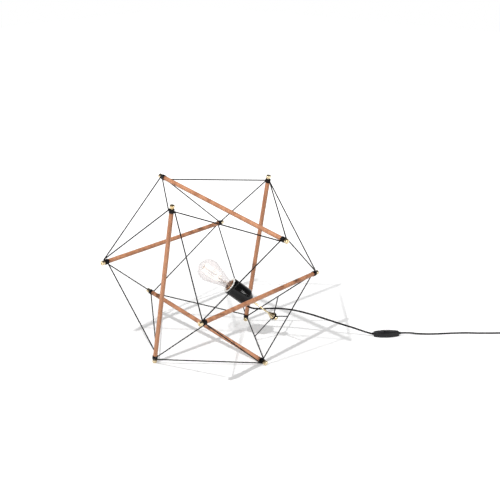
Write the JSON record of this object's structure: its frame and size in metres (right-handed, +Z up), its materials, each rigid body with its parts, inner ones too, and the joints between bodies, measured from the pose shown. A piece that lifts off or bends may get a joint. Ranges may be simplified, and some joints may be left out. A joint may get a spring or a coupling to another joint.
{
  "type": "wire cage floor lamp",
  "caption": "Floor lamp: a cage of wooden dowels held apart by black wire frames with brass end knobs, a bulb in a black porcelain holder inside, and a cord with a hand switch.",
  "frame": {"origin": "on the floor, straight below the middle of the cage", "axes": "+Z up, +X along the two level dowels, the front at -Y; the cage leans on the knobs of three dowels"},
  "size_m": [0.9814, 0.9855, 0.4758],
  "materials": {
    "oiled_wood": "satin",
    "turned_brass": "polished",
    "black_steel": "satin",
    "black_porcelain": "glossy",
    "white_porcelain": "glossy",
    "copper_shell": "satin",
    "cap_brass": "satin",
    "clear_glass": "clear",
    "mount_glass": "clear",
    "filament": "satin",
    "black_rubber": "satin",
    "black_plastic": "glossy",
    "pin_metal": "polished"
  },
  "bodies": {
    "cage": {"cord_coil": "black_rubber", "cord_gland": "black_rubber", "cord_on_floor": "black_rubber", "cord_tie": "black_plastic", "cord_to_switch": "black_rubber", "dowel_back": "oiled_wood", "dowel_bottom": "oiled_wood", "dowel_front": "oiled_wood", "dowel_left": "oiled_wood", "dowel_right": "oiled_wood", "dowel_top": "oiled_wood", "hub_knob": "turned_brass", "knobs_back": "turned_brass", "knobs_bottom": "turned_brass", "knobs_front": "turned_brass", "knobs_left": "turned_brass", "knobs_right": "turned_brass", "knobs_top": "turned_brass", "lamp_spider": "black_steel", "lamp_stem": "turned_brass", "pin_sleeves": "black_plastic", "plug_body": "black_plastic", "plug_boot": "black_rubber", "plug_pins": "pin_metal", "rocker_pin": "pin_metal", "socket_body": "black_porcelain", "socket_contact": "copper_shell", "socket_insert": "white_porcelain", "socket_shell": "copper_shell", "socket_union": "turned_brass", "stem_cone": "turned_brass", "switch_base": "black_plastic", "switch_bushes": "black_rubber", "switch_contacts": "pin_metal", "switch_cover": "black_plastic", "wire_frame_lower_back_left": "black_steel", "wire_frame_lower_back_right": "black_steel", "wire_frame_lower_front_left": "black_steel", "wire_frame_lower_front_right": "black_steel", "wire_frame_upper_back_left": "black_steel", "wire_frame_upper_back_right": "black_steel", "wire_frame_upper_front_left": "black_steel", "wire_frame_upper_front_right": "black_steel"},
    "rocker": {"switch_rocker": "black_plastic"},
    "bulb_foot": {"bulb_button": "cap_brass"},
    "bulb": {"bulb_glass": "clear_glass", "bulb_cap": "cap_brass", "bulb_mount": "mount_glass", "bulb_filament": "filament", "bulb_leads": "filament", "bulb_hooks": "filament"}
  },
  "joints": [
    {"name": "rocker_press", "type": "hinge", "parent": "cage", "child": "rocker", "pos_m": [0.37525, -0.34175, 0.012], "axis": [-0.7137, -0.7004, 0], "range_deg": [0, 16]},
    {"name": "bulb_rise", "type": "slide", "parent": "cage", "child": "bulb_foot", "axis": [-0.6013, 0.4728, 0.6441], "range_m": [0, 0.01452]},
    {"name": "bulb_turn", "type": "hinge", "parent": "bulb_foot", "child": "bulb", "pos_m": [0.0388, -0.03051, 0.18163], "axis": [-0.6013, 0.4728, 0.6441], "range_deg": [0, 1440]}
  ],
  "couplings": [
    {"joint": "bulb_rise", "follows": "bulb_turn", "m_per_rad": 0.00057761}
  ]
}
